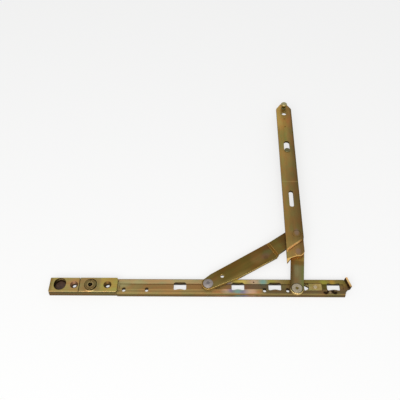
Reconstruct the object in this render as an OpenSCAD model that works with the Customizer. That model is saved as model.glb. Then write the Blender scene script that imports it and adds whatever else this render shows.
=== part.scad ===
// Window stay arm: a pressed rail, a short crank, a brace link and a long stay arm.
// Millimetres. The origin lies on the base plane, midway between the two fixing screws,
// with +X along the rail to the crank pivot, +Y to the side the arm opens to, +Z up.

/* [Rail] */
// Width of the pressed channel
rail_w = 19; // [18:0.5:24]
// Height of the channel from its feet to its top face
rail_h = 5.4; // [5:0.1:7]
// Sheet thickness of the channel
rail_t = 2; // [1.6:0.1:2.4]
// Outside radius of the two long bends
rail_bend_r = 1.6; // [0.6:0.1:2]
// Length of rail from the fixing centre to its left end
rail_head = 44.7; // [42:0.1:60]
// Length of rail from the crank pivot to its right end
rail_tail = 51.5; // [50:0.5:60]
// Width of the rolled groove along the top
groove_w = 6.2; // [4:0.2:8]
// Depth of the rolled groove
groove_d = 0.8; // [0.3:0.1:1]

/* [Rail cut-outs] */
// Length of a window
window_l = 13.4; // [10:0.2:16]
// Width of a window
window_w = 8.4; // [7:0.2:11]
// How far the long sides of a window swell into it
window_swell = 0.8; // [0.2:0.1:1.4]
// Radius of the swelling
window_swell_r = 12; // [8:0.5:16]
// Corner radius of a window
window_corner_r = 0.9; // [0.5:0.1:1.5]
// Distance from the crank pivot back to the middle of the first window
window_first = 124.6; // [120:0.2:130]
// Distance between the two windows of a pair
window_pitch = 62.2; // [58:0.2:66]
// Distance between the two pairs of windows
window_pair = 101.6; // [99:0.2:104]
// Diameter of the small holes beside the groove
small_hole_d = 3.6; // [2:0.1:4]
// Distance from the rail's middle line to the small holes
small_hole_y = 4.9; // [4.6:0.1:6]
// Distance from the crank pivot back to the first small hole
small_hole_first = 184.8; // [180:0.2:187]
// Distance between the two small holes of a pair
small_hole_pitch = 24.6; // [20:0.2:28]
// Distance between the two pairs of small holes
small_hole_pair = 150.6; // [148:0.2:152]
// Distance from the crank pivot back to the marking pit
pit_back = 45.4; // [40:0.2:47]
// Distance from the rail's middle line to the marking pit
pit_y = 5.3; // [4.8:0.1:6]
// Diameter of the marking pit
pit_d = 1.6; // [1:0.1:2.4]
// Depth of the marking pit
pit_depth = 1; // [0.4:0.1:1.4]
// Length of the end tab along its bend
tab_l = 12; // [8:0.5:12.5]
// Height of the end tab above the rail
tab_h = 4.6; // [2:0.1:6]
// Lean of the end tab out of the upright, in degrees
tab_lean = 10; // [0:1:40]
// Slant of the end tab's bend, in degrees
tab_slant = 17; // [5:1:20]
// Distance from the far edge of the rail to the end tab
tab_margin = 0.9; // [0.4:0.1:2]
// Width of the relief cut beside the end tab
tab_relief = 0.6; // [0.3:0.1:1]
// Length of the taper from the end tab back to the rail's near corner
tab_taper = 3; // [1:0.1:3.2]
// Size of the corner cut from the rail's near end
rail_corner = 0.6; // [0.3:0.1:1.8]

/* [Fixing end] */
// Distance between the two fixing screws
screw_gap = 36.2; // [34:0.2:44]
// Diameter of a screw hole
screw_d = 4.4; // [3.5:0.1:5]
// Diameter of a countersink at the top
sink_d = 8.6; // [7:0.1:9]
// Width of the two plates and of the rail's neck under them
plate_w = 17.4; // [17:0.1:18.8]
// Thickness of the end plate
end_plate_t = 2.7; // [2:0.1:4]
// Thickness of the catch plate
catch_plate_t = 3; // [2:0.1:4]
// Length of the catch plate
catch_plate_l = 40.8; // [40:0.2:46]
// Distance from the fixing centre to the joint between the plates
plate_joint = 12; // [11.5:0.1:12.5]
// Width of the rounded recess in the end plate
recess_d = 13.2; // [8:0.2:13.4]
// How much longer the recess is across the plate
recess_run = 1.4; // [0.4:0.1:2]
// Width of the ledge of rail inside the recess
recess_ledge = 0.8; // [0.7:0.1:2]
// Distance from the end of the rail to the middle of the recess
recess_inset = 11.1; // [10:0.1:12]
// Distance from the rail's middle line to the middle of the recess
recess_y = 0.9; // [0:0.1:1]
// Corner radius of the end plate
end_corner_r = 1; // [0.5:0.1:2]
// Corner radius of the catch plate
catch_corner_r = 1.8; // [0.5:0.1:3]
// Distance from the ends of the plates to the packer under them
packer_inset = 1; // [0.5:0.1:3]
// Diameter of the packer's holes round the screws
packer_hole_d = 10; // [6:0.5:11]

/* [Adjuster] */
// Diameter of the adjuster's disc
adjuster_d = 12.4; // [9:0.2:13]
// Offset of the disc from the axis it turns on
adjuster_throw = 0.5; // [0.2:0.1:0.8]
// Diameter of the adjuster's spigot
spigot_d = 6; // [5:0.2:7]
// Size of the hexagon socket, across its corners
socket_d = 5.2; // [3:0.1:5.6]
// Diameter of the raised ring round the disc
boss_d = 16.6; // [15.4:0.2:16.8]
// Height of the raised ring
boss_h = 0.4; // [0.2:0.1:1]
// Height of the adjuster above the raised ring
adjuster_proud = 0.2; // [0.1:0.1:1]
// Thickness of metal left under the hexagon socket
socket_floor = 0.4; // [0.3:0.1:1]

/* [Linkage] */
// Distance from the fixing centre to the crank pivot
pivot_x = 220.5; // [215:0.5:230]
// Distance from the rail's middle line to the crank pivot
pivot_y = -3.5; // [-4.5:0.1:-2.5]
// Distance along the rail from the brace pivot to the crank pivot
brace_gap = 94.3; // [90:0.1:98]
// Distance from the rail's middle line to the brace pivot
brace_y = 1.7; // [0.5:0.1:2.5]
// Distance between the crank's two pivots
crank_l = 44.5; // [42:0.1:48]
// Distance between the stay arm's two pivots
elbow_l = 22; // [20:0.1:24]
// Angle of the open stay arm to the rail, in degrees
open_angle = 89; // [80:0.5:95]
// Thickness of the crank, link and arm
strip_t = 3; // [2:0.1:4]
// Thickness of the friction washers
washer_t = 0.3; // [0.2:0.05:0.6]

/* [Crank and brace link] */
// Width of the crank at its rail end
crank_w = 14.2; // [13.4:0.2:17]
// Width of the crank at its elbow end
crank_elbow_w = 14.8; // [12:0.2:15]
// Radius of the link's end on the rail
link_foot_r = 7; // [6.6:0.1:8]
// Radius of the link's end under the arm
link_end_r = 6.2; // [5.6:0.1:6.6]
// Distance from the link's axis to its far edge
link_far = 9.9; // [9:0.1:10.4]
// Distance from the link's axis to its near edge
link_near = 11.2; // [9:0.1:12.2]
// Distance along the link where its near edge reaches full width
link_taper = 34; // [25:1:45]
// Distance along the link where its far edge leaves its foot
link_hip = 8; // [7:0.5:10]
// Distance the far edge is set in at its foot
link_hip_in = 1.4; // [0.5:0.1:1.8]
// Distance the edges are set in where the link steps up
link_nip = 1.9; // [0.5:0.1:2.2]
// Distance from the link's far shoulder to the joint under the arm
link_shoulder = 9; // [8:0.1:12]
// Clearance from the link's rise to the folded crank's end
rise_gap = 1.2; // [0.4:0.1:2]
// Diameter of the small hole in the link
link_hole_d = 4; // [2:0.1:6]
// Distance of the small hole from the brace pivot
link_hole_x = 17.8; // [15:0.2:24]

/* [Stay arm] */
// Width of the stay arm
arm_w = 20; // [19:0.5:24]
// Distance of the arm's pivots from its middle line
arm_offset = 2.6; // [1:0.1:3]
// Length of the arm from its elbow to its tip
arm_l = 240.5; // [236:0.5:260]
// Length of the chamfered tip
tip_l = 9.5; // [5:0.5:12]
// Width of the arm at its very tip
tip_w = 8; // [4:0.5:12]
// Angle of the step across the arm, in degrees
step_angle = 51; // [47:1:54]
// Length of the slope in a step
step_run = 1.4; // [1.2:0.1:2.4]
// Reach of the pointed corner past the elbow
nose_l = 15; // [12:0.5:18]
// Width of the pointed corner where it is snipped
nose_w = 4.4; // [2.5:0.1:5]
// Reach of the snipped edge past the elbow
nose_knee = 8.8; // [8.2:0.1:11]
// Distance from the elbow to the middle of the arm's round end
end_shift = 1.1; // [0.2:0.1:1.4]
// Turn of the arm's round end, in degrees
end_turn = 78; // [70:1:84]
// Distance from the tip to the stud
stud_inset = 8; // [6.5:0.1:9]
// Diameter of the stud's head
stud_head_d = 8.2; // [6:0.1:9]
// Diameter of the stud's neck
stud_neck_d = 4.6; // [3:0.1:5.4]
// Height of the stud above the arm
stud_h = 8.2; // [5:0.1:9.6]
// Diameter of the round hole near the tip
arm_hole_d = 6.6; // [5:0.1:8]
// Distance from the tip to the round hole
tip_hole_inset = 18.5; // [18:0.5:24]
// Distance from the elbow to the first marking pit
arm_pit_u = 195.8; // [190:0.2:200]
// Distance between the two marking pits
arm_pit_gap = 14.9; // [10:0.1:17]
// Diameter of the marking pits in the arm
arm_pit_d = 2.2; // [1:0.1:3]
// Depth of the marking pits in the arm
arm_pit_depth = 0.5; // [0.2:0.1:1.4]
// Distance from the elbow to the locating rivet
locating_u = 152.6; // [140:0.2:160]
// Diameter of the locating rivet
locating_d = 7.2; // [5:0.1:8]
// Length of the rivet's slot past the rivet's middle
locating_run = 13; // [11:0.2:18]
// Width of the lip round the locating rivet's head
locating_lip = 1; // [0.5:0.1:1.4]
// Height of the locating rivet above the arm
locating_proud = 0.8; // [0.2:0.1:1.5]
// Width of the slot in the arm
slot_w = 5.2; // [4.6:0.1:7]
// Length of the slot in the arm
slot_l = 24.5; // [16:0.5:30]
// Distance from the elbow to the middle of the slot
slot_u = 73; // [65:0.5:80]

/* [Rivets and stop block] */
// Diameter of the rivet shanks on the rail
shank_d = 7; // [6:0.1:7.4]
// Diameter of the rivet heads on the rail
head_d = 11.2; // [9.5:0.1:11.6]
// Height of the domed head on the brace pivot
dome_h = 1.3; // [0.8:0.1:2]
// Diameter of the hole in the crank's rivet
eyelet_d = 3.4; // [2:0.1:5]
// Depth of the hole in the crank's rivet
eyelet_depth = 0.8; // [0.5:0.1:3]
// Diameter of the rivet shanks at the arm
arm_shank_d = 7; // [5:0.1:7.4]
// Diameter of the flush heads at the arm
arm_head_d = 9; // [8:0.1:9.4]
// Thickness of the flush heads
flush_t = 1.2; // [0.8:0.1:1.4]
// Distance from the crank pivot to the open end of the stop slot
stop_reach = 8.2; // [8:0.1:9]
// Length of the stop block's pad
stop_l = 13.8; // [10:0.2:16]
// Width of the stop block's pad
stop_w = 8.2; // [6:0.2:10]
// Length of the open end of the stop slot
stop_open = 4.8; // [3:0.1:4.9]
// Depth of the pad below the top of the rail
stop_sink = 0.3; // [0.1:0.1:1.8]
// Length of the block under the rail past its pad
stop_margin = 4; // [2:0.2:5]
// Height of the block's underside above the base
stop_foot = 0.6; // [0.3:0.1:1.5]
// Width of the block's fork at its mouth
fork_mouth = 7.4; // [5:0.2:8]
// Width of the block's fork at its root
fork_root = 2.4; // [1:0.1:4]
// Diameter of the stop block's pin
stop_pin_d = 4; // [2:0.1:5]
// Height of the pin above the pad
stop_pin_proud = 0.3; // [0.1:0.1:0.8]
// Distance from the pad to the first stake mark beside it
stake_gap = 3.9; // [2:0.1:6]
// Distance between the two stake marks
stake_pitch = 8.7; // [6:0.1:10]
// Radius of a stake mark
stake_r = 2.4; // [1.8:0.1:2.8]
// Height of a stake mark's middle above the rail
stake_rise = 1.2; // [0.9:0.1:1.6]
// Distance from the rail's near edge to the stake marks
stake_y = 2.8; // [2.4:0.1:3.4]

/* [Clearances] */
// Radial clearance of a turning fit
run_gap = 0.05; // [0.02:0.01:0.1]
// Radial clearance of a fixed fit
fix_gap = 0.02; // [0.01:0.01:0.05]
// Axial play above a washer
play = 0.1; // [0.05:0.05:0.3]
// Clearance round heads and loose pieces
loose_gap = 0.3; // [0.2:0.05:0.4]
// Gap between the two plates on the rail
plate_gap = 0.7; // [0.1:0.1:1]
// Distance from the edge of a strip to the edge of its washer
washer_inset = 0.5; // [0.3:0.1:1]

/* [Hidden] */
$fn = 64;
// Overshoot of cutting tools
cut = 1;
// Length well past any piece, for the tools that trim strips
far = 400;
// How far the straight edges of a strip run inside its round ends, so that the faces cross
seam = 0.02;

// Levels of the three layers above the rail
web_z = rail_h - rail_t;
low_z = rail_h + washer_t + play;
mid_z = low_z + strip_t + washer_t + play;
top_z = mid_z + strip_t + washer_t + play;
arm_top = top_z + strip_t;

// Pivots on the rail
pivot = [pivot_x, pivot_y];
brace = [pivot_x - brace_gap, brace_y];
// The link is as long as lets the linkage fold flat along the rail
fold_reach = sqrt(crank_l * crank_l - (brace_y - pivot_y) * (brace_y - pivot_y));
link_l = brace_gap + fold_reach - elbow_l;
// Elbow of the open linkage: where the crank's circle meets the link's circle
arm_dir = [cos(open_angle), sin(open_angle)];
link_centre = brace - elbow_l * arm_dir;
span = link_centre - pivot;
span_l = norm(span);
along = (crank_l * crank_l - link_l * link_l + span_l * span_l) / (2 * span_l);
aside = sqrt(crank_l * crank_l - along * along);
elbow = pivot + along * span / span_l + aside * [span[1], -span[0]] / span_l;
joint = elbow + elbow_l * arm_dir;
crank_angle = atan2(elbow[1] - pivot[1], elbow[0] - pivot[0]);
link_angle = atan2(joint[1] - brace[1], joint[0] - brace[0]);

// Where the link has risen to the middle layer, clear of the folded crank's end
link_rise_end = brace_gap - crank_w / 2 - rise_gap;
rise = mid_z - low_z;
// Shift between the bends on the two faces of a stepped strip
step_bend = strip_t * tan(atan2(rise, step_run) / 2);
// The step in the arm stands clear of the link's end
step_u = elbow_l - (link_end_r + loose_gap + step_bend) / sin(step_angle);

// Rail ends and cut-outs
rail_end = pivot_x + rail_tail;
tab_foot = [rail_end, rail_w / 2 - tab_margin];
tab_dir = [sin(tab_slant), -cos(tab_slant)];
tab_near = tab_foot + tab_l * tab_dir;
catch_end = catch_plate_l - plate_joint;
window_xs = [for (pair = [0, 1], i = [0, 1])
  pivot_x - window_first + pair * window_pair + i * window_pitch];
small_hole_xs = [for (pair = [0, 1], i = [0, 1])
  pivot_x - small_hole_first + pair * small_hole_pair + i * small_hole_pitch];
stop_x = pivot_x + stop_reach + stop_open + stop_l / 2;
stake_xs = [for (i = [0, 1]) stop_x + stop_l / 2 + stake_gap + i * stake_pitch];
screw_xs = [-screw_gap / 2, screw_gap / 2];
recess_x = recess_inset - rail_head;
inside_w = rail_w - 2 * rail_t;

// Arm edges seen from the line through its pivots
arm_right = arm_offset - arm_w / 2;
arm_left = arm_offset + arm_w / 2;
arm_end_r = -arm_right;
stud_u = arm_l - stud_inset;
tip_hole_u = arm_l - tip_hole_inset;
arm_pit_us = [arm_pit_u, arm_pit_u + arm_pit_gap];

zinc_light = [0.66, 0.58, 0.40];
zinc_gold = [0.58, 0.48, 0.27];
zinc_olive = [0.40, 0.37, 0.20];
steel_grey = [0.66, 0.64, 0.60];
dark_brown = [0.24, 0.17, 0.12];
washer_white = [0.85, 0.84, 0.80];

// Point where a line from outside point e touches the circle at c; side picks one of the two
function touch(e, c, r, side) =
  let (d = e - c, a = atan2(d[1], d[0]) + side * acos(r / norm(d)))
  c + r * [cos(a), sin(a)];

// Plate of an outline between two heights
module slab(low, high) {
  translate([0, 0, low]) linear_extrude(height = high - low) children();
}

// Upright hole or pin between two heights
module post(x, y, d, low, high) {
  translate([x, y, low]) cylinder(d = d, h = high - low);
}

// Side profile of a strip, given as [distance, height] points, drawn across the strip
module across(points) {
  rotate([90, 0, 0]) linear_extrude(height = far, center = true) polygon(points);
}

// Countersunk screw hole through everything below the height high
module screw_hole(x, high) {
  post(x, 0, screw_d, -cut, high + cut);
  sink_h = (sink_d - screw_d) / 2;
  translate([x, 0, high - sink_h]) cylinder(d1 = screw_d, d2 = sink_d, h = sink_h);
  post(x, 0, sink_d, high, high + cut);
}

// Rectangle with rounded corners on the plan
module round_rect(x0, x1, w, r) {
  union() {
    translate([x0 + r, -w / 2]) square([x1 - x0 - 2 * r, w]);
    translate([x0, -w / 2 + r]) square([x1 - x0, w - 2 * r]);
    for (x = [x0 + r, x1 - r], y = [-w / 2 + r, w / 2 - r])
      translate([x, y]) circle(r = r);
  }
}

// Cross-section of the rail: an upturned channel with rounded long bends
module rail_section() {
  difference() {
    union() {
      translate([-rail_w / 2, 0]) square([rail_w, rail_h - rail_bend_r]);
      translate([rail_bend_r - rail_w / 2, 0]) square([rail_w - 2 * rail_bend_r, rail_h]);
      for (side = [-1, 1])
        translate([side * (rail_w / 2 - rail_bend_r), rail_h - rail_bend_r]) circle(r = rail_bend_r);
    }
    translate([-inside_w / 2, -cut]) square([inside_w, web_z + cut]);
  }
}

// Window whose long sides swell inwards
module window_cut(x) {
  translate([x, 0, 0]) slab(-cut, rail_h + cut) difference() {
    round_rect(-window_l / 2, window_l / 2, window_w, window_corner_r);
    for (side = [-1, 1])
      translate([0, side * (window_w / 2 + window_swell_r - window_swell)]) circle(r = window_swell_r);
  }
}

// Tab bent up from the slanted right end; its root lies inside the sheet
module end_tab() {
  lean = tab_h * tan(tab_lean);
  back = rail_t / cos(tab_lean);
  root = 3;
  skin = 0.25;
  translate([tab_foot[0], tab_foot[1], 0])
    rotate([0, 0, tab_slant])
      rotate([90, 0, 0])
        linear_extrude(height = tab_l)
          polygon([[-root, web_z + skin], [back - (rail_t - skin) * tan(tab_lean), web_z + skin],
            [lean + back, rail_h + tab_h], [lean, rail_h + tab_h],
            [-skin * tan(tab_lean), rail_h - skin], [-root, rail_h - skin]]);
}

module rail() {
  color(zinc_light) difference() {
    union() {
      intersection() {
        translate([-rail_head, 0, 0])
          rotate([90, 0, 90]) linear_extrude(height = far) rail_section();
        slab(-cut, rail_h + cut) polygon([
          [-rail_head, -rail_w], [rail_end - rail_corner, -rail_w],
          [rail_end - rail_corner, rail_bend_r - rail_w / 2],
          [rail_end, rail_corner + rail_bend_r - rail_w / 2], [rail_end, tab_near[1] - tab_taper],
          [tab_near[0] - tab_relief, tab_near[1]], tab_foot - [tab_relief, 0],
          [tab_foot[0] - tab_relief, rail_w], [-rail_head, rail_w]]);
      }
      end_tab();
    }
    for (y = [-plate_w / 2 - rail_w, plate_w / 2]) translate([-rail_head - cut, y, -cut])
      cube([rail_head + catch_end + cut, rail_w, rail_h + 2 * cut]);
    translate([catch_end + catch_corner_r, -groove_w / 2, rail_h - groove_d])
      cube([rail_end - catch_end - 2 * catch_corner_r, groove_w, groove_d + cut]);
    for (x = window_xs) window_cut(x);
    translate([stop_x - stop_l / 2 - stop_open, -stop_w / 2 - loose_gap, -cut])
      cube([stop_l + stop_open + loose_gap, stop_w + 2 * loose_gap, rail_h + 2 * cut]);
    for (x = small_hole_xs) post(x, -small_hole_y, small_hole_d, -cut, rail_h + cut);
    post(pivot_x - pit_back, pit_y, pit_d, rail_h - pit_depth, rail_h + cut);
    for (x = stake_xs) translate([x, stake_y - rail_w / 2, rail_h + stake_rise]) sphere(r = stake_r);
    for (x = screw_xs) post(x, 0, screw_d, -cut, rail_h + cut);
    post(recess_x, recess_y, recess_d - 2 * recess_ledge, -cut, rail_h + cut);
    post(0, 0, spigot_d + 2 * run_gap, -cut, rail_h + cut);
    post(pivot[0], pivot[1], shank_d + 2 * fix_gap, -cut, rail_h + cut);
    post(brace[0], brace[1], shank_d + 2 * fix_gap, -cut, rail_h + cut);
  }
}

// Outline of a plate with round corners at its outer end and square ones at the joint
module plate_outline(outer, joined, r) {
  low = min(outer, joined);
  high = max(outer, joined);
  union() {
    round_rect(low, high, plate_w, r);
    translate([min(joined, (outer + joined) / 2), -plate_w / 2]) square([(high - low) / 2, plate_w]);
  }
}

module end_plate() {
  high = rail_h + end_plate_t;
  color(zinc_gold) difference() {
    slab(rail_h, high) plate_outline(-rail_head, -plate_joint - plate_gap, end_corner_r);
    screw_hole(screw_xs[0], high);
    for (side = [-1, 1])
      post(recess_x, recess_y + side * recess_run / 2, recess_d, rail_h - cut, high + cut);
    translate([recess_x - recess_d / 2, recess_y - recess_run / 2, rail_h - cut])
      cube([recess_d, recess_run, end_plate_t + 2 * cut]);
  }
}

module catch_plate() {
  high = rail_h + catch_plate_t;
  color(zinc_gold) difference() {
    union() {
      slab(rail_h, high) plate_outline(catch_end, -plate_joint, catch_corner_r);
      post(0, 0, boss_d, rail_h, high + boss_h);
    }
    screw_hole(screw_xs[1], high);
    post(0, 0, adjuster_d + 2 * (adjuster_throw + loose_gap), rail_h - cut, high + boss_h + cut);
  }
}

// Moulded packer that fills the channel under the plates
module anchor_packer() {
  color(dark_brown) difference() {
    translate([packer_inset - rail_head, loose_gap - inside_w / 2, 0])
      cube([catch_end + rail_head - 2 * packer_inset, inside_w - 2 * loose_gap, web_z]);
    for (x = screw_xs) post(x, 0, packer_hole_d, -cut, rail_h);
  }
}

// Eccentric disc on a spigot, slotted and socketed for a key
module eccentric_adjuster() {
  high = rail_h + catch_plate_t + boss_h + adjuster_proud;
  low = rail_h + play;
  slit_w = 1.4;
  slit_d = 0.7;
  color(zinc_gold) difference() {
    union() {
      post(-adjuster_throw, 0, adjuster_d, low, high);
      post(0, 0, spigot_d, web_z + play, low + cut);
    }
    translate([-adjuster_throw - slit_w / 2, -adjuster_d, high - slit_d])
      cube([slit_w, 2 * adjuster_d, slit_d + cut]);
    translate([-adjuster_throw, 0, low + socket_floor])
      cylinder(d = socket_d, h = catch_plate_t + cut, $fn = 6);
  }
}

// Block staked inside the channel: its pad stands in the stop slot, its foot is forked
module stop_block() {
  pad_top = rail_h - stop_sink;
  pad_x = stop_x - stop_l / 2;
  fork_x = pad_x - stop_open + loose_gap;
  foot_x = pad_x + stop_l + stop_margin;
  foot_w = inside_w - 2 * loose_gap;
  color(zinc_olive) difference() {
    union() {
      translate([pad_x, -stop_w / 2, stop_foot]) cube([stop_l, stop_w, pad_top - stop_foot]);
      slab(stop_foot, web_z) polygon([[fork_x, foot_w / 2], [fork_x, fork_mouth / 2],
        [pad_x, fork_root / 2], [pad_x, -fork_root / 2], [fork_x, -fork_mouth / 2],
        [fork_x, -foot_w / 2], [foot_x, -foot_w / 2], [foot_x, foot_w / 2]]);
    }
    post(stop_x, 0, stop_pin_d + 2 * fix_gap, 0, rail_h);
  }
}

module stop_block_pin() {
  color(steel_grey) post(stop_x, 0, stop_pin_d, stop_foot, rail_h - stop_sink + stop_pin_proud);
}

// Flush tubular rivet the crank turns on
module crank_rivet() {
  head_top = low_z + strip_t;
  color(steel_grey) translate([pivot[0], pivot[1], 0]) rotate_extrude()
    polygon([[0, web_z], [shank_d / 2, web_z], [shank_d / 2, head_top - flush_t],
      [head_d / 2, head_top - flush_t], [head_d / 2, head_top], [eyelet_d / 2, head_top],
      [eyelet_d / 2, head_top - eyelet_depth], [0, head_top - eyelet_depth]]);
}

// Domed rivet the brace link turns on
module brace_rivet() {
  seat = low_z + strip_t + play;
  tail_z = web_z - flush_t;
  dome_r = (head_d * head_d / 4 + dome_h * dome_h) / (2 * dome_h);
  color(steel_grey) translate([brace[0], brace[1], 0]) union() {
    rotate_extrude()
      polygon([[0, tail_z], [head_d / 2, tail_z], [head_d / 2, web_z], [shank_d / 2, web_z],
        [shank_d / 2, seat], [0, seat]]);
    intersection() {
      translate([0, 0, seat + dome_h - dome_r]) sphere(r = dome_r);
      cylinder(r = head_d, h = seat + dome_h + cut);
      translate([0, 0, seat]) cylinder(r = head_d, h = dome_h + cut);
    }
  }
}

// Flat friction washer
module friction_washer(place, bore, outer, low) {
  color(washer_white) difference() {
    post(place[0], place[1], outer, low, low + washer_t);
    post(place[0], place[1], bore, low - cut, low + washer_t + cut);
  }
}

module crank_washer() {
  friction_washer(pivot, shank_d + 2 * fix_gap, crank_w - 2 * washer_inset, rail_h);
}

module brace_washer() {
  friction_washer(brace, shank_d + 2 * fix_gap, 2 * (link_foot_r - washer_inset), rail_h);
}

module elbow_washer() {
  friction_washer(elbow, arm_shank_d, 2 * (arm_end_r - end_shift - washer_inset), low_z + strip_t);
}

module joint_washer() {
  friction_washer(joint, arm_shank_d + 2 * fix_gap, 2 * (link_end_r - washer_inset), mid_z + strip_t);
}

// Flat strip with two round ends
module crank() {
  r1 = crank_w / 2 - seam;
  r2 = crank_elbow_w / 2 - seam;
  a = acos((r1 - r2) / crank_l);
  high = low_z + strip_t;
  color(zinc_gold) translate([pivot[0], pivot[1], 0]) rotate([0, 0, crank_angle]) difference() {
    union() {
      post(0, 0, crank_w, low_z, high);
      post(crank_l, 0, crank_elbow_w, low_z, high);
      slab(low_z, high) polygon([r1 * [cos(a), sin(a)], r1 * [cos(a), -sin(a)],
        [crank_l, 0] + r2 * [cos(a), -sin(a)], [crank_l, 0] + r2 * [cos(a), sin(a)]]);
    }
    post(0, 0, shank_d + 2 * run_gap, low_z - cut, high + cut);
    post(0, 0, head_d + 2 * loose_gap, high - flush_t - play, high + cut);
    post(crank_l, 0, arm_shank_d, low_z - cut, high + cut);
  }
}

// Lower half of the elbow rivet, flush in the crank
module crank_elbow_stub() {
  color(steel_grey) post(elbow[0], elbow[1], arm_shank_d - 2 * fix_gap, low_z, low_z + strip_t);
}

// Wide strip that rises from the lower to the middle layer
module brace_link() {
  rise_start = link_rise_end - step_run;
  hip_far = [link_hip, link_far - link_hip_in];
  shoulder_far = [link_l - link_shoulder, link_far];
  nip_near = [link_rise_end - step_bend, link_nip / 2 - link_near];
  taper_near = [link_taper, -link_near];
  end = [link_l, 0];
  foot_r = link_foot_r - seam;
  end_r = link_end_r - seam;
  color(zinc_olive) translate([brace[0], brace[1], 0]) rotate([0, 0, link_angle]) difference() {
    intersection() {
      union() {
        post(0, 0, 2 * link_foot_r, low_z - cut, top_z);
        post(link_l, 0, 2 * link_end_r, low_z - cut, top_z);
        slab(low_z - cut, top_z) polygon([touch(hip_far, [0, 0], foot_r, 1), hip_far,
          [rise_start - step_bend, link_far], [link_rise_end - step_bend, link_far - link_nip],
          shoulder_far, touch(shoulder_far, end, end_r, -1), touch(nip_near, end, end_r, 1),
          nip_near, [rise_start - step_bend, -link_near], taper_near,
          touch(taper_near, [0, 0], foot_r, -1)]);
      }
      across([[-far, low_z], [rise_start, low_z], [link_rise_end, mid_z], [far, mid_z],
        [far, mid_z + strip_t], [link_rise_end - step_bend, mid_z + strip_t],
        [rise_start - step_bend, low_z + strip_t], [-far, low_z + strip_t]]);
    }
    post(0, 0, shank_d + 2 * run_gap, 0, top_z);
    post(link_hole_x, 0, link_hole_d, 0, top_z);
    post(link_l, 0, arm_shank_d + 2 * fix_gap, 0, top_z + cut);
    post(link_l, 0, arm_head_d + 2 * fix_gap, 0, mid_z + flush_t);
  }
}

// Rivet flush on both faces that joins the link to the arm
module joint_rivet() {
  color(steel_grey) translate([joint[0], joint[1], 0]) union() {
    post(0, 0, arm_head_d, mid_z, mid_z + flush_t);
    post(0, 0, arm_shank_d, mid_z, arm_top);
    post(0, 0, arm_head_d, arm_top - flush_t, arm_top);
  }
}

// Long strip with a slanted step between its two pivots
module stay_arm() {
  slot_half = (slot_l - slot_w) / 2;
  seat_d = locating_d + 2 * fix_gap;
  color(zinc_gold) translate([elbow[0], elbow[1], 0]) rotate([0, 0, open_angle]) difference() {
    intersection() {
      union() {
        post(end_shift, 0, 2 * arm_end_r, low_z, arm_top + cut);
        slab(low_z, arm_top + cut) polygon([[end_shift, arm_right], [arm_l - tip_l, arm_right],
          [arm_l, arm_offset - tip_w / 2], [arm_l, arm_offset + tip_w / 2],
          [arm_l - tip_l, arm_left], [-nose_l, arm_left], [-nose_knee, arm_left - nose_w],
          [end_shift, 0] + arm_end_r * [-sin(end_turn), cos(end_turn)], [end_shift, 0]]);
      }
      translate([step_u, 0, 0]) rotate([0, 0, 90 - step_angle])
        across([[-far, mid_z], [step_bend - step_run, mid_z], [step_bend, top_z], [far, top_z],
          [far, arm_top], [0, arm_top], [-step_run, mid_z + strip_t], [-far, mid_z + strip_t]]);
    }
    post(0, 0, arm_shank_d + 2 * fix_gap, low_z, arm_top);
    post(0, 0, arm_head_d + 2 * fix_gap, mid_z + strip_t - flush_t, mid_z + strip_t + cut);
    post(elbow_l, 0, arm_shank_d + 2 * run_gap, low_z, arm_top + cut);
    post(elbow_l, 0, arm_head_d + 2 * loose_gap, arm_top - flush_t - play, arm_top + cut);
    post(tip_hole_u, arm_offset, arm_hole_d, low_z, arm_top + cut);
    for (u = arm_pit_us) post(u, arm_offset, arm_pit_d, arm_top - arm_pit_depth, arm_top + cut);
    for (u = [0, locating_run]) post(locating_u + u, arm_offset, seat_d, low_z, arm_top + cut);
    translate([locating_u, arm_offset - seat_d / 2, low_z]) cube([locating_run, seat_d, arm_top]);
    post(stud_u, arm_offset, stud_neck_d + 2 * fix_gap, low_z, arm_top + cut);
    for (side = [-1, 1]) post(slot_u + side * slot_half, arm_offset, slot_w, low_z, arm_top + cut);
    translate([slot_u - slot_half, arm_offset - slot_w / 2, low_z])
      cube([2 * slot_half, slot_w, arm_top]);
  }
}

// Upper half of the elbow rivet, flush in the arm
module elbow_rivet() {
  color(steel_grey) translate([elbow[0], elbow[1], 0]) union() {
    post(0, 0, arm_shank_d, mid_z, mid_z + strip_t);
    post(0, 0, arm_head_d, mid_z + strip_t - flush_t, mid_z + strip_t);
  }
}

// Headed stud riveted into the tip
module tip_stud() {
  head_t = 2.4;
  neck = stud_neck_d / 2;
  head = stud_head_d / 2;
  collar_h = 0.8;
  edge = 1;
  color(steel_grey) translate([elbow[0], elbow[1], 0]) rotate([0, 0, open_angle])
    translate([stud_u, arm_offset, 0]) rotate_extrude()
      polygon([[0, top_z], [neck, top_z], [neck, arm_top], [head - edge, arm_top],
        [head - edge, arm_top + collar_h], [neck, arm_top + collar_h],
        [neck, arm_top + stud_h - head_t], [head, arm_top + stud_h - head_t],
        [head, arm_top + stud_h - edge], [head - edge, arm_top + stud_h], [0, arm_top + stud_h]]);
}

// Rivet at the end of its slot, a little proud of the arm, with a low head under it
module locating_rivet() {
  tail_h = 1;
  color(steel_grey) translate([elbow[0], elbow[1], 0]) rotate([0, 0, open_angle]) union() {
    post(locating_u, arm_offset, locating_d, top_z - tail_h, arm_top + locating_proud);
    post(locating_u, arm_offset, locating_d + 2 * locating_lip, top_z - tail_h, top_z);
  }
}

rail();
end_plate();
catch_plate();
anchor_packer();
eccentric_adjuster();
stop_block();
stop_block_pin();
crank_rivet();
crank_washer();
brace_rivet();
brace_washer();
crank();
crank_elbow_stub();
elbow_washer();
brace_link();
joint_rivet();
joint_washer();
stay_arm();
elbow_rivet();
tip_stud();
locating_rivet();
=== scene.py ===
import math

import bpy
from mathutils import Matrix, Vector


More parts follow.
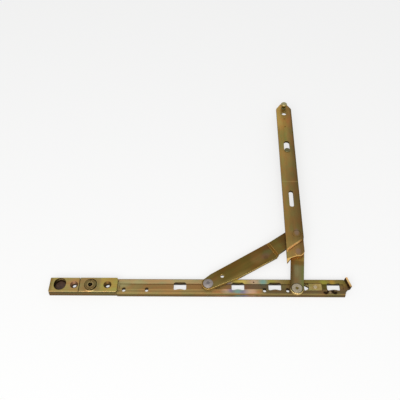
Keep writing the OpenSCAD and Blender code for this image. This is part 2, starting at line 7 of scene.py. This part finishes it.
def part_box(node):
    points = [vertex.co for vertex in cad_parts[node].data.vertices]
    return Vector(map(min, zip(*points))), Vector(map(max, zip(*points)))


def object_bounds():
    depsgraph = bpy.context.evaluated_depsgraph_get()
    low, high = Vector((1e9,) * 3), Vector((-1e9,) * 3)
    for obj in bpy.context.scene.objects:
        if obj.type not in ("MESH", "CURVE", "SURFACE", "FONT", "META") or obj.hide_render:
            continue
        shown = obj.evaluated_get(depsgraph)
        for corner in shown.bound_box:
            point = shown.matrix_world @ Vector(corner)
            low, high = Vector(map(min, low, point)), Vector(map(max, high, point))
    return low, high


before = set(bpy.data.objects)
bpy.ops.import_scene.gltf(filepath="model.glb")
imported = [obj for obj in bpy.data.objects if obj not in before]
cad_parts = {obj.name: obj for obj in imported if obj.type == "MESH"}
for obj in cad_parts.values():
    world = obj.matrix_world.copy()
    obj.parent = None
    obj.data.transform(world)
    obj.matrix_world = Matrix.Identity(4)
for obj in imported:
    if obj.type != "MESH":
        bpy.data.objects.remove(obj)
solid_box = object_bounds()


# Rail
# A channel rolled from 2 mm steel strip, with windows and holes punched through its top and a tab
# bent up at its end. It is zinc plated and passivated yellow, which leaves rainbow stains on it.
class Wire:
    """One socket in a node tree. Sums and products of wires add Math nodes to the tree."""

    def __init__(self, tree, socket=None):
        self.tree = tree
        self.socket = socket

    def node(self, kind, settings, sockets, out=0):
        """Adds a node of any kind: first its settings, then its sockets' values or wires."""
        made = self.tree.nodes.new(kind)
        for name, value in settings.items():
            setattr(made, name, value)
        for name, value in sockets.items():
            if isinstance(value, Wire):
                self.tree.links.new(value.socket, made.inputs[name])
            else:
                made.inputs[name].default_value = value
        return Wire(self.tree, made.outputs[out])

    def math(self, operation, first, second=0.0):
        return self.node("ShaderNodeMath", {"operation": operation}, {0: first, 1: second})

    def __add__(self, other):
        return self.math("ADD", self, other)

    def __radd__(self, other):
        return self.math("ADD", other, self)

    def __sub__(self, other):
        return self.math("SUBTRACT", self, other)

    def __rsub__(self, other):
        return self.math("SUBTRACT", other, self)

    def __mul__(self, other):
        return self.math("MULTIPLY", self, other)

    def __rmul__(self, other):
        return self.math("MULTIPLY", other, self)

    def vector(self, operation, second, third=(0, 0, 0), out=0):
        return self.node("ShaderNodeVectorMath", {"operation": operation},
                         {0: self, 1: second, 2: third}, out)

    def part(self, axis):
        """One coordinate of a place."""
        return self.node("ShaderNodeSeparateXYZ", {}, {0: self}, out=axis)

    def slope(self):
        """1 on a level face and 0 on an upright one."""
        facing = self.node("ShaderNodeNewGeometry", {}, {}, out="Normal")
        return self.math("ABSOLUTE", facing.part("Z"))

    def reach(self, x, y, wide=1, tall=None):
        """How far this place is from another, seen from above, in shares of an ellipse's radii."""
        shrunk = (1 / wide, 1 / (tall or wide), 0)
        away = self.vector("SUBTRACT", (x, y, 0)).vector("MULTIPLY", shrunk)
        return away.vector("LENGTH", (0, 0, 0), out="Value")

    def ramp(self, low, high):
        """0 at low, 1 at high, held past both and with a smooth rise between them."""
        return self.node("ShaderNodeMapRange", {"interpolation_type": "SMOOTHSTEP"},
                         {"Value": self, "From Min": low, "From Max": high})

    def band(self, low, high, soft):
        """1 between low and high, and 0 a soft way outside them."""
        return self.ramp(low - soft, low) * self.ramp(high + soft, high)

    def spot(self, x, y, wide, tall=None, soft=0.6):
        """1 inside an ellipse round a place, fading to 0 at its edge."""
        return self.reach(x, y, wide, tall).ramp(1, 1 - soft)

    def noise(self, scale, stretch=(1, 1, 1), detail=2.0, roughness=0.5):
        """Soft noise about this place, from 0 to 1."""
        return self.node("ShaderNodeTexNoise", {}, {
            "Vector": self.vector("MULTIPLY", stretch), "Scale": scale,
            "Detail": detail, "Roughness": roughness})

    def mix(self, other, share, blend="MIX"):
        """This colour blended with another one by a share from 0 to 1."""
        second = other if isinstance(other, Wire) else (*other, 1)
        return self.node("ShaderNodeMix", {"data_type": "RGBA", "blend_type": blend},
                         {0: share, 6: self, 7: second}, out=2)

    def between(self, first, second):
        """A colour that goes from the first to the second as this wire goes from 0 to 1."""
        return self.node("ShaderNodeMix", {"data_type": "RGBA"},
                         {0: self, 6: (*first, 1), 7: (*second, 1)}, out=2)

    def shaded(self, value):
        """This colour made lighter or darker by a wire."""
        grey = self.node("ShaderNodeCombineColor", {}, {0: value, 1: value, 2: value})
        return self.mix(grey, 1.0, "MULTIPLY")


mm = 0.001


def rgb(*levels):
    """An sRGB colour in levels from 0 to 255, as the linear colour that a shader takes."""
    shares = [level / 255 for level in levels]
    return tuple(s / 12.92 if s < 0.0404 else ((s + 0.055) / 1.055) ** 2.4 for s in shares)


def finish(name, origin=(0, 0, 0), angle=0.0, **constants):
    """A new material, its shader with these sockets set, and the place on the piece in millimetres
    from origin, with X along angle."""
    material = bpy.data.materials.new(name)
    material.use_nodes = True
    shader = material.node_tree.nodes["Principled BSDF"]
    for socket, value in constants.items():
        shader.inputs[socket.replace("_", " ")].default_value = value
    place = Wire(material.node_tree).node("ShaderNodeTexCoord", {}, {}, out="Object")
    place = place.vector("MULTIPLY_ADD", (1 / mm,) * 3, tuple(-c / mm for c in origin))
    return material, shader, place.node("ShaderNodeVectorRotate", {"rotation_type": "Z_AXIS"},
                                        {"Vector": place, "Angle": -angle})


def feed(shader, **wires):
    """Links wires to the shader's sockets."""
    for socket, wire in wires.items():
        wire.tree.links.new(wire.socket, shader.inputs[socket.replace("_", " ")])


def edged(tone, slope, rim, wall):
    """A colour with painted light and shade: its broken edges and upright sides take colours that
    stand in for the highlights and shade on them.
    """
    tone = tone.mix(rim, slope.ramp(0.99, 0.9))
    return tone.mix(wall, slope.ramp(0.3, 0.1))


def zinc(name, paint, origin=(0, 0, 0), angle=0.0, roughness=0.45):
    """Yellow passivated zinc on rolled strip: a paint function's colour, clouded, streaked along the
    strip and specked with dirt."""
    material, shader, strip = finish(name, origin, angle, Metallic=0.9)
    clouds = strip.noise(0.07, (0.5, 1, 1), detail=3)
    streaks = strip.noise(0.9, (0.05, 1, 1), detail=3)
    dirt = strip.noise(0.42, detail=4, roughness=0.7).ramp(0.66, 0.74)
    drift = strip.noise(0.13, (0.5, 1, 1)).ramp(0.32, 0.68)
    reddish, greenish = (1.16, 0.92, 0.76), (0.88, 1.06, 0.94)
    tone = paint(strip, strip.slope()).shaded(0.6 + 0.46 * clouds + 0.34 * streaks)
    tone = tone.mix(drift.between(reddish, greenish), 0.7, "MULTIPLY")
    tone = tone.mix((0.03, 0.022, 0.01), dirt * 0.35)
    dull = roughness - 0.1 + 0.16 * streaks + 0.06 * clouds + 0.2 * dirt
    bump = strip.node("ShaderNodeBump", {}, {"Strength": 0.2, "Distance": 0.05 * mm,
                                             "Height": strip.noise(2.6) * 0.5 + streaks})
    feed(shader, Base_Color=tone, Roughness=dull, Normal=bump)
    return material


def dress(node, material, edge=0.3, fine=()):
    """Gives a solid its finish and rounds its sharp edges by a radius in millimetres, but only by a
    fifth of it within the fine circles, each a centre and a radius."""
    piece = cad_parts[node]
    piece.data.materials.clear()
    piece.data.materials.append(material)
    piece.modifiers.new("weld", "WELD").merge_threshold = 0.002 * mm
    flat = piece.modifiers.new("flat_faces", "DECIMATE")
    flat.decimate_type = "DISSOLVE"
    flat.angle_limit = math.radians(0.6)
    group = bpy.data.node_groups.new(node + "_edges", "GeometryNodeTree")
    for way in ("INPUT", "OUTPUT"):
        group.interface.new_socket("Geometry", in_out=way, socket_type="NodeSocketGeometry")
    mesh = Wire(group).node("NodeGroupInput", {}, {})
    for domain in ("FACE", "EDGE"):
        mesh = mesh.node("GeometryNodeSetShadeSmooth", {"domain": domain}, {0: mesh})
    bend = mesh.node("GeometryNodeInputMeshEdgeAngle", {}, {})
    weight = mesh.math("GREATER_THAN", bend, math.radians(32))
    for middle, radius in fine:
        place = mesh.node("GeometryNodeInputPosition", {}, {})
        outside = mesh.math("GREATER_THAN", place.reach(middle.x, middle.y), radius * mm)
        weight = weight * (0.2 + 0.8 * outside)
    mesh = mesh.node("GeometryNodeStoreNamedAttribute", {"data_type": "FLOAT", "domain": "EDGE"},
                     {"Geometry": mesh, "Name": "bevel_weight_edge", "Value": weight})
    group.links.new(mesh.socket, group.nodes.new("NodeGroupOutput").inputs[0])
    piece.modifiers.new("edge_weights", "NODES").node_group = group
    bevel = piece.modifiers.new("rounded_edges", "BEVEL")
    bevel.width = edge * mm
    bevel.segments = 3
    bevel.limit_method = "WEIGHT"
    piece.modifiers.new("shading", "WEIGHTED_NORMAL").weight = 100


def centre(node):
    """The middle of a node's box."""
    low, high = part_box(node)
    return (low + high) / 2


shade_windows = (95.9, 158.1, 197.5)
small_holes = (35.7, 60.3, 186.3, 210.9)
recess = (-33.6, 0.9, 7.6, 6.9)
stakes = ((250.8, -7, 3.4, 2.5), (252.9, -5.9, 2.2, 1.8),
          (258.6, -5.7, 3, 2.3), (260.7, -7, 3, 2.5))
between_stakes = (255.4, -6.8, 2, 1.8)
recess_shade = rgb(50, 36, 18)
yellow, leaf, teal = rgb(194, 190, 100), rgb(138, 146, 60), rgb(108, 168, 170)
violet, rose, amber = rgb(122, 118, 162), rgb(196, 164, 144), rgb(174, 124, 80)
gold = rgb(168, 136, 60)
far_stains = ((148, 6, 7, violet), (160, 6, 14, yellow), (176, 6, 9, rose), (186, 6, 8, teal),
              (194, 6, 9, leaf), (250, 6, 7, leaf), (259, 6, 5, gold))
near_stains = ((138, -7, 12, amber), (146, -5, 8, rose), (151, -4, 6, violet), (158, -6, 8, teal),
               (165, -7, 8, violet), (172, -6, 11, rose), (181, -6, 5, amber))


def rail_paint(strip, slope):
    """The lands, sides and stains, then the groove, and then painted shade at holes, windows, edges,
    tab and stakes.
    """
    x, y, z = (strip.part(axis) for axis in "XYZ")
    far_land = x.ramp(190, 214).between(rgb(164, 145, 106), rgb(126, 110, 58))
    near_land = x.ramp(176, 192).between(rgb(152, 129, 84), rgb(106, 88, 60))
    tone = far_land.mix(near_land, y.ramp(3.2, -3.2))
    # A painted dark reflection along the start of the near bend.
    bend_dark_reflection = y.band(-6.1, -5.8, 0.5)
    tone = tone.mix(rgb(100, 76, 46), bend_dark_reflection * 0.75)
    # The upright faces take a painted shade, darker towards the bottom.
    side = z.ramp(0.3, 3.5).between(rgb(112, 94, 62), rgb(124, 100, 60))
    tone = tone.mix(side, slope.ramp(0.3, 0.1))

    waver = strip.node("ShaderNodeTexNoise", {}, {"Vector": strip, "Scale": 0.25}, out="Color")
    ragged = strip.vector("ADD", (-2, -1, 0)).vector("ADD", waver.vector("MULTIPLY", (4, 2, 0)))
    for along, across, wide, colour in far_stains + near_stains:
        tone = tone.mix(colour, ragged.spot(along, across, wide, 6, soft=0.9) * 0.75)

    groove = x.ramp(140, 165).between(rgb(134, 107, 66), rgb(102, 74, 58))
    groove = groove.mix(rgb(86, 72, 56), x.band(184, 192, 4))
    groove = groove.mix(rgb(114, 98, 62), x.ramp(196, 208))
    low = z.ramp(5.3, 4.9) * slope.ramp(0.3, 0.5) * x.ramp(34, 46)
    tone = tone.mix(groove, low * 0.85)
    tone = tone.mix(rgb(70, 52, 30), low * y.ramp(-2.4, -3.0) * 0.5)
    by_block = x.band(248.5, 252, 1)
    tone = tone.mix(rgb(82, 72, 22), low * by_block * 0.8)

    # A dark painted shade on the top at the far rim of each small hole.
    for hole in small_holes:
        tone = tone.mix(rgb(48, 34, 18), strip.spot(hole, -2.8, 2.5, 2, soft=0.3) * 0.9)
    # A dark painted shade on the top just past the far edge of these windows.
    for window in shade_windows:
        far_edge_shade = x.band(window - 5, window + 5, 0.7) * y.band(3.4, 4.8, 0.4)
        tone = tone.mix(rgb(52, 38, 16), far_edge_shade * 0.85)
    # The rail's rounded edges take a dull painted shade.
    rail_edge_shade = slope.ramp(0.99, 0.9) * slope.ramp(0.1, 0.3)
    tone = tone.mix(rgb(116, 98, 60), rail_edge_shade)
    # The walls punched through the top take a dark painted shade.
    punched_wall_shade = strip.math("ABSOLUTE", y).ramp(8.4, 8.0) * slope.ramp(0.6, 0.3) * z.ramp(5.1, 4.8)
    tone = tone.mix(rgb(40, 30, 14), punched_wall_shade)

    # The tab's inner face takes a dark painted shade and its top edge a painted highlight, paler
    # towards the far end.
    tab = x.ramp(271.6, 272.2) * z.ramp(5.4, 5.9)
    tab_edge_highlight = y.ramp(-5, 4).between(rgb(166, 132, 72), rgb(214, 178, 126))
    tone = tone.mix(rgb(66, 44, 20), tab).mix(tab_edge_highlight, tab * slope.ramp(0.3, 0.7))
    # A dark painted shade inside the recess.
    tone = tone.mix(recess_shade, strip.spot(*recess, soft=0.05))
    # The stake dents take a dark painted shade, with a paler pink patch between them.
    for stake in stakes:
        tone = tone.mix(rgb(44, 28, 14), strip.spot(*stake, soft=0.5))
    return tone.mix(rgb(156, 128, 104), strip.spot(*between_stakes) * 0.8)


dress("rail", zinc("rail_zinc", rail_paint, roughness=0.6), edge=0.3)


# Fixing end
# Two pressed plates over the end of the rail, on a moulded packer that fills the channel under
# them. They are plated as the rail is, and each takes a countersunk screw.
sink_shades = ((-18.1, rgb(106, 80, 60)), (18.1, rgb(86, 68, 34)))
sink_radius = 4.6


def plate_paint(strip, slope):
    """The two plates' colours along x, a painted highlight along the near edge, and painted shade on
    the sides, cones and recess.
    """
    x, y = strip.part("X"), strip.part("Y")
    tone = x.ramp(-2, 16).between(rgb(160, 138, 84), rgb(160, 144, 78))
    tone = tone.mix(rgb(138, 122, 82), x.band(-12, 9, 3) * 0.8)
    tone = tone.mix(rgb(128, 104, 56), x.ramp(-40.5, -44) * 0.8)
    tone = tone.mix(rgb(172, 134, 94), strip.spot(-19, 1, 8, 9) * 0.5)
    # A painted highlight along the near edge of the top and on the near rim.
    tone = tone.mix(rgb(206, 176, 122), y.ramp(-7.2, -8.2) * 0.7)
    rim = y.ramp(-6, -8).between(rgb(132, 110, 66), rgb(214, 184, 128))
    tone = edged(tone, slope, rim, rgb(108, 96, 56))
    cone = slope.ramp(0.98, 0.9)
    # Darker painted shade on the countersink cones.
    for screw, colour in sink_shades:
        tone = tone.mix(colour, strip.spot(screw, 0, sink_radius, soft=0.1) * cone)
    # Dark painted shade on the recess walls.
    return tone.mix(recess_shade, strip.spot(*recess, soft=0.05) * cone)


plate_zinc = zinc("plate_zinc", plate_paint)
for node in ("end_plate", "catch_plate"):
    dress(node, plate_zinc, edge=0.45)

material, shader, place = finish("packer_plastic", Roughness=0.55, Specular_IOR_Level=0.4)
mottle = place.noise(0.38, detail=4).ramp(0.35, 0.7)
feed(shader, Base_Color=mottle.between(rgb(58, 38, 24), rgb(78, 54, 36)))
dress("anchor_packer", material)


# Adjuster
# A turned eccentric disc on a spigot, with a slot and a key socket. Turning it sets how hard the
# stay pulls the sash in.
disc = (-0.5, 0)


def adjuster_paint(strip, slope):
    """A disc that is paler in its middle, with a turned ring, painted light on its edges, painted
    shade on its sides and a dark painted shade in its socket.
    """
    tone = strip.spot(*disc, 6.2, soft=0.9).between(rgb(104, 90, 54), rgb(150, 136, 96))
    ring = strip.spot(*disc, 4.6, soft=0.06) - strip.spot(*disc, 4.2, soft=0.06)
    tone = tone.mix(rgb(60, 48, 24), ring)
    tone = edged(tone, slope, rgb(150, 134, 88), rgb(44, 34, 16))
    # Dark painted shade in the key socket.
    return tone.mix(rgb(26, 18, 10), strip.spot(*disc, 2.5, soft=0.1))


dress("eccentric_adjuster", zinc("adjuster_zinc", adjuster_paint), edge=0.3)


# Stop block
# A small plated block that sits in the channel under the stop slot, held by the stakes in the
# rail's edge, with a steel pin through its pad.
def block_paint(strip, slope):
    """Two pale greens in patches, with painted highlights on the edges and painted shade on the
    sides.
    """
    tone = strip.noise(0.2).ramp(0.35, 0.65).between(rgb(164, 148, 98), rgb(144, 128, 78))
    return edged(tone, slope, rgb(180, 164, 112), rgb(84, 70, 36))


dress("stop_block", zinc("block_zinc", block_paint), edge=0.4)


# Rivets and pin
# Bare steel: the tubular rivet that the crank turns on, the domed one of the brace link, and the pin
# of the stop block. Their heads are hammered and a little scuffed.
def steel(name, node, light, deep, rim, wall, middle, roughness=0.42):
    """Hammered steel with a middle spot of another colour: its colour and radius, and with light and
    shade painted on its edges and sides.
    """
    material, shader, place = finish(name, centre(node), Metallic=0.95)
    hammered = place.noise(0.7, detail=3, roughness=0.6)
    tone = edged(hammered.ramp(0.36, 0.64).between(light, deep), place.slope(), rim, wall)
    colour, radius = middle
    tone = tone.mix(colour, place.spot(0, 0, radius, soft=0.25))
    bump = place.node("ShaderNodeBump", {}, {"Strength": 0.5, "Distance": 0.15 * mm,
                                             "Height": hammered})
    feed(shader, Base_Color=tone, Roughness=roughness + 0.2 * hammered, Normal=bump)
    dress(node, material, edge=0.3)


steel("crank_rivet_steel", "crank_rivet", light=rgb(170, 160, 138), deep=rgb(144, 134, 114),
      rim=rgb(178, 168, 146), wall=rgb(70, 60, 34), middle=(rgb(112, 96, 48), 2))
steel("brace_rivet_steel", "brace_rivet", light=rgb(154, 146, 140), deep=rgb(132, 124, 120),
      rim=rgb(140, 132, 128), wall=rgb(62, 52, 44), middle=(rgb(112, 106, 106), 2.2))
steel("pin_steel", "stop_block_pin", light=rgb(184, 168, 136), deep=rgb(166, 150, 118),
      rim=rgb(190, 176, 144), wall=rgb(90, 76, 50), middle=(rgb(168, 152, 124), 1.2))


# Washers
# Thin nylon friction washers under the crank, the link and the arm, which keep the plating from
# wearing and give the stay its drag.
material, shader, place = finish("washer_plastic", Roughness=0.5)
feed(shader, Base_Color=place.noise(0.3).between(rgb(222, 220, 210), rgb(200, 196, 182)))
for node in ("crank_washer", "brace_washer", "elbow_washer", "joint_washer"):
    dress(node, material, edge=0.05)


# Crank
# A short flat strip with round ends that swings on the rail and carries the elbow of the arm. Its
# stain runs from red brown on one edge to green on the other.
def crank_paint(strip, slope):
    """u runs from the rail to the elbow and v to the left. The foot has a painted highlight on its
    rim.
    """
    u, v = strip.part("X"), strip.part("Y")
    tone = v.ramp(6.4, 2).between(rgb(92, 70, 36), rgb(120, 104, 70))
    tone = tone.mix(rgb(108, 106, 58), v.ramp(-2.5, -6) * 0.8)
    tone = tone.mix(rgb(134, 118, 86), strip.spot(21, 0.5, 9, 3.4) * 0.5)
    # A painted red-brown shadow of the arm's end, then lighter gold nearer the elbow.
    tone = tone.mix(rgb(112, 82, 34), u.ramp(27, 31) * 0.8).mix(rgb(140, 108, 52), u.ramp(33, 36))
    # The edges take painted shade along the sides and a bright painted highlight round the foot, and
    # the foot's side a painted highlight too.
    rim = v.ramp(-4, 4).between(rgb(88, 86, 36), rgb(96, 62, 30))
    rim = rim.mix(rgb(255, 234, 172), u.ramp(1, -4))
    wall = u.ramp(0, -4).between(rgb(90, 78, 36), rgb(206, 176, 112))
    tone = edged(tone, slope, rim, wall)
    # Dark painted shade in the counterbore round the rivet head.
    counterbore_shade = strip.spot(0, 0, 6.4, soft=0.12)
    return tone.mix(rgb(46, 34, 16), counterbore_shade)


def heading(start, end):
    """The angle of the line from one node's middle to another's, seen from above."""
    way = centre(end) - centre(start)
    return math.atan2(way.y, way.x)


crank_zinc = zinc("crank_zinc", crank_paint, centre("crank_rivet"),
                  heading("crank_rivet", "crank_elbow_stub"))
dress("crank", crank_zinc, edge=1.1, fine=[(centre("crank_rivet"), 6.5)])


# Brace link
# A wide strip, tapered to its rail end, with a joggle that lifts it over the crank when the stay
# folds. Its plating came out darker and greener than the rest.
def link_paint(strip, slope):
    """u runs from the rail to the arm, and v from the near edge to the far one. The near edge takes
    a painted highlight up to the joggle and painted shade past it."""
    u, v = strip.part("X"), strip.part("Y")
    tone = u.ramp(8, 20).between(rgb(116, 94, 52), rgb(101, 79, 34))
    tone = tone.mix(rgb(122, 98, 58), strip.spot(63, 0, 11, 11) * 0.6)
    tone = tone.mix(rgb(100, 80, 40), u.ramp(70, 80))
    tone = tone.mix(rgb(88, 96, 62), strip.spot(77, 0, 9, 6) * 0.6)
    tone = tone.mix(rgb(104, 66, 44), strip.spot(80, 6, 7, 4) * 0.6)
    tone = tone.mix(rgb(108, 84, 74), strip.spot(72, -3, 7, 5) * 0.4)
    tone = tone.mix(rgb(60, 48, 22), strip.spot(71.5, -5.1, 2.8, soft=0.3) * 0.25)
    tone = tone.mix(rgb(98, 90, 44), u.band(86, 92, 3) * 0.7)
    # A painted shadow of the arm, darker towards it.
    tone = tone.mix(rgb(84, 58, 28), u.ramp(92, 103) * 0.85)
    # A painted highlight along the near edge of the foot, and painted shade towards the far edge.
    tone = tone.mix(rgb(136, 112, 64), v.ramp(-5, -9) * u.ramp(60, 34) * 0.5)
    tone = tone.mix(rgb(88, 66, 20), v.ramp(0, 4) * 0.4)
    # The edges and sides take painted highlights and shade: bright on the near side up to the
    # joggle, dark past it.
    past = u.ramp(86, 94)
    rim = u.ramp(64, 84).between(rgb(255, 216, 140), rgb(190, 152, 86)).mix(rgb(120, 92, 50), past)
    rim = rim.mix(rgb(160, 140, 94), u.ramp(86, 90) * v.ramp(-3, -6))
    wall = u.ramp(60, 84).between(rgb(170, 144, 86), rgb(118, 104, 58)).mix(rgb(50, 36, 16), past)
    tone = edged(tone, slope, rim, wall)
    # Painted shade on the middle of the joggle's slope, between its highlighted edges.
    joggle = u.band(82, 84.6, 0.4) * slope.band(0.3, 0.5, 0.1)
    return tone.mix(rgb(132, 106, 46), joggle * 0.9)


link_zinc = zinc("link_zinc", link_paint, centre("brace_rivet"),
                 heading("brace_rivet", "joint_rivet"))
dress("brace_link", link_zinc, edge=0.7)


# Stay arm
# A long strip that the sash is screwed to, stepped down at its elbow by a slanted joggle, with two
# slots and a hole. The rivets at its two joints are ground flush and plated with it.
arm_angle = math.radians(89)
end_round = (1.1, 0)
knee_u, knee_v, knee_out = -0.929, -0.371, 2.3


def arm_paint(strip, slope):
    """u runs from the elbow to the tip and v to the left. The elbow end is rounded on the right and
    cut off at the knee on the left, with a painted highlight along it."""
    u, v, z = (strip.part(axis) for axis in "XYZ")
    tone = u.ramp(100, 150).between(rgb(120, 99, 56), rgb(138, 117, 66))
    tone = tone.mix(rgb(150, 119, 60), u.ramp(180, 200))
    tone = tone.mix(rgb(138, 116, 70), u.ramp(16, 6))
    tone = tone.mix(rgb(124, 122, 60), strip.spot(178, 7, 22, 8) * 0.6)
    tone = tone.mix(rgb(96, 74, 40), v.ramp(3, -6) * 0.7)
    tone = tone.mix(rgb(150, 124, 68), v.ramp(3, 10) * 0.5)
    tone = tone.mix(rgb(160, 112, 66), strip.spot(212, -3, 28, 5) * 0.35)
    tone = tone.mix(rgb(178, 146, 80), v.ramp(3, 9) * u.ramp(184, 204) * 0.8)
    # Painted shade along the right edge past the step.
    tone = tone.mix(rgb(84, 68, 30), v.ramp(-5, -6.8) * u.ramp(14, 18) * 0.8)
    scratch = u.band(99.4, 100.2, 0.5)
    tone = tone.mix(rgb(166, 144, 94), scratch * 0.35)
    rivets = strip.spot(0.5, -0.5, 5.5, 4) + strip.spot(24, 0, 6, 3.6)
    tone = tone.mix(rgb(128, 112, 108), rivets * 0.5)
    # The edges and sides take painted highlights and shade: bright on the left, at the step and on
    # the end, and lighter in the tip hole.
    rim = v.ramp(-4, 8).between(rgb(96, 80, 30), rgb(206, 140, 76))
    rim = rim.mix(rgb(246, 200, 134), u.ramp(16, 10))
    wall = u.ramp(4, -2).between(rgb(84, 66, 26), rgb(124, 84, 38))
    wall = wall.mix(rgb(236, 186, 104), u.ramp(2, -2) * z.ramp(10, 9.6))
    tip_hole = strip.spot(222, 2.6, 6)
    wall = wall.mix(rgb(180, 150, 92), tip_hole)
    tone = edged(tone, slope, rim, wall)
    # A painted highlight along the top edge of the elbow end and knee.
    knee = knee_u * u + knee_v * v + knee_out
    outward = strip.reach(*end_round) * v.ramp(1.9, 1.2) + knee * v.ramp(1.2, 1.9)
    end_highlight = outward.ramp(6.2, 6.8) * u.ramp(0, -3) * slope.ramp(0.5, 0.9)
    tone = tone.mix(rgb(232, 192, 118), end_highlight * 0.8)
    # A painted shadow under the step.
    step_shadow = z.ramp(13.2, 12.7) * slope.band(0.3, 0.9, 0.06) * u.band(2, 22, 2)
    return tone.mix(rgb(92, 60, 26), step_shadow)


elbow = centre("elbow_rivet") * Vector((1, 1, 0))
arm_zinc = zinc("arm_zinc", arm_paint, elbow, arm_angle)
dress("stay_arm", arm_zinc, edge=0.6,
      fine=[(centre("elbow_rivet"), 5.2), (centre("joint_rivet"), 5.4)])
for node in ("elbow_rivet", "joint_rivet", "crank_elbow_stub"):
    dress(node, arm_zinc, edge=0.1)


# Stud and locating rivet
# A turned stud with a round head at the arm's tip, which hooks into the sash bracket, and a short
# rivet at the end of the upper slot. Both carry a thin greenish plating.
def stud_paint(strip, slope):
    """Pale patches, with a painted highlight on the rim at the foot, painted shade on the sides and
    a dark painted shade at the neck.
    """
    z = strip.part("Z")
    tone = strip.noise(0.5).between(rgb(160, 157, 124), rgb(138, 135, 102))
    rim = z.ramp(-3, 0).between(rgb(214, 206, 158), rgb(150, 142, 96))
    tone = edged(tone, slope, rim, rgb(120, 104, 36))
    # Dark painted shade round the neck under the head.
    neck = z.band(-2.2, 1.4, 0.4)
    return tone.mix(rgb(60, 50, 16), neck * 0.7)


stud_zinc = zinc("stud_zinc", stud_paint, centre("tip_stud"))
dress("tip_stud", stud_zinc, edge=0.3)
dress("locating_rivet", stud_zinc, edge=0.7)


# Table and light
# The stay lies on a white sweep under one broad soft lamp at the camera's side and an even sky. The
# sweep glows a little, so that shadows stay faint, except in the rail's channel, where a shadow is
# painted on it.
def shown_rays(source):
    """1 for rays that show a surface straight, in metal or through glass, and 1 in metal alone."""
    seen, gloss, through = (source.node("ShaderNodeLightPath", {}, {}, out=ray)
                            for ray in ("Is Camera Ray", "Is Glossy Ray", "Is Transmission Ray"))
    return source.math("MAXIMUM", source.math("MAXIMUM", seen, gloss), through), gloss


pale, dimmed = (0.945, 0.945, 0.94), (0.45, 0.45, 0.44)
white, shade = (0.9, 0.9, 0.895), (0.075, 0.05, 0.02)
floor_z = solid_box[0].z - 0.05 * mm
bpy.ops.mesh.primitive_plane_add(size=8, location=(solid_box[0].x, 0, floor_z))
floor = bpy.context.object
floor.name = "floor"
material = bpy.data.materials.new("white_sweep")
material.use_nodes = True
tree = material.node_tree
source = Wire(tree)
shown, gloss = shown_rays(source)
glow = source.node("ShaderNodeEmission", {}, {"Color": gloss.between(pale, dimmed)})
place = source.node("ShaderNodeNewGeometry", {}, {}).vector("MULTIPLY", (1 / mm,) * 3)
x, y = place.part("X"), place.part("Y")
# A painted shadow on the floor in the channel under the rail's web and beside each small hole.
under = y.band(4.9, 7.6, 0.4) * x.band(-40, 270, 1)
for hole in small_holes:
    under = under + y.band(-1.2, 0, 0.3) * x.band(hole - 2.5, hole + 2.5, 0.5)
paper = source.node("ShaderNodeBsdfPrincipled", {}, {
    "Base Color": under.between(white, shade), "Roughness": 1.0, "Specular IOR Level": 0.0})
glow_share = shown * (0.72 - 0.66 * under)
surface = source.node("ShaderNodeMixShader", {}, {0: glow_share, 1: paper, 2: glow})
tree.links.new(surface.socket, tree.nodes["Material Output"].inputs["Surface"])
floor.data.materials.append(material)

world = bpy.data.worlds.new("even_sky")
bpy.context.scene.world = world
world.use_nodes = True
tree = world.node_tree
shown, gloss = shown_rays(Wire(tree))
sky = shown.between((0.55, 0.55, 0.56), pale)
tree.links.new(sky.socket, tree.nodes["Background"].inputs["Color"])

lamp = bpy.data.lights.new("front_softbox", "AREA")
lamp.shape = "RECTANGLE"
lamp.size = 1.2
lamp.size_y = 0.7
lamp.energy = 14
box = bpy.data.objects.new("front_softbox", lamp)
bpy.context.scene.collection.objects.link(box)
aim = (solid_box[0] + solid_box[1]) / 2
box.location = aim + Vector((-0.15, -0.95, 0.85))
box.rotation_euler = (aim - box.location).to_track_quat("-Z", "Y").to_euler()


# Camera
# It stands in front of the rail, a little to the right of its middle and half a metre up, and looks
# down at the stay.
picture_width = 400
focal_pixels = 560.25
camera_place = Vector((0.13555, -0.30978, 0.52828))
pitch, yaw, roll = (math.radians(turn) for turn in (50.554, -2.703, -2.131))
camera_data = bpy.data.cameras.new("camera")
camera_data.sensor_width = 36
camera_data.lens = focal_pixels / picture_width * camera_data.sensor_width
camera = bpy.data.objects.new("camera", camera_data)
bpy.context.scene.collection.objects.link(camera)
ahead = Vector((math.sin(yaw), math.cos(yaw), 0))
level = Vector((math.cos(yaw), -math.sin(yaw), 0))
forward = ahead * math.cos(pitch) - Vector((0, 0, math.sin(pitch)))
upright = level.cross(forward)
right = level * math.cos(roll) + upright * math.sin(roll)
up = upright * math.cos(roll) - level * math.sin(roll)
turned = Matrix((right, up, -forward)).transposed().to_4x4()
camera.matrix_world = Matrix.Translation(camera_place) @ turned
bpy.context.scene.camera = camera
bpy.context.scene.view_settings.view_transform = "Standard"
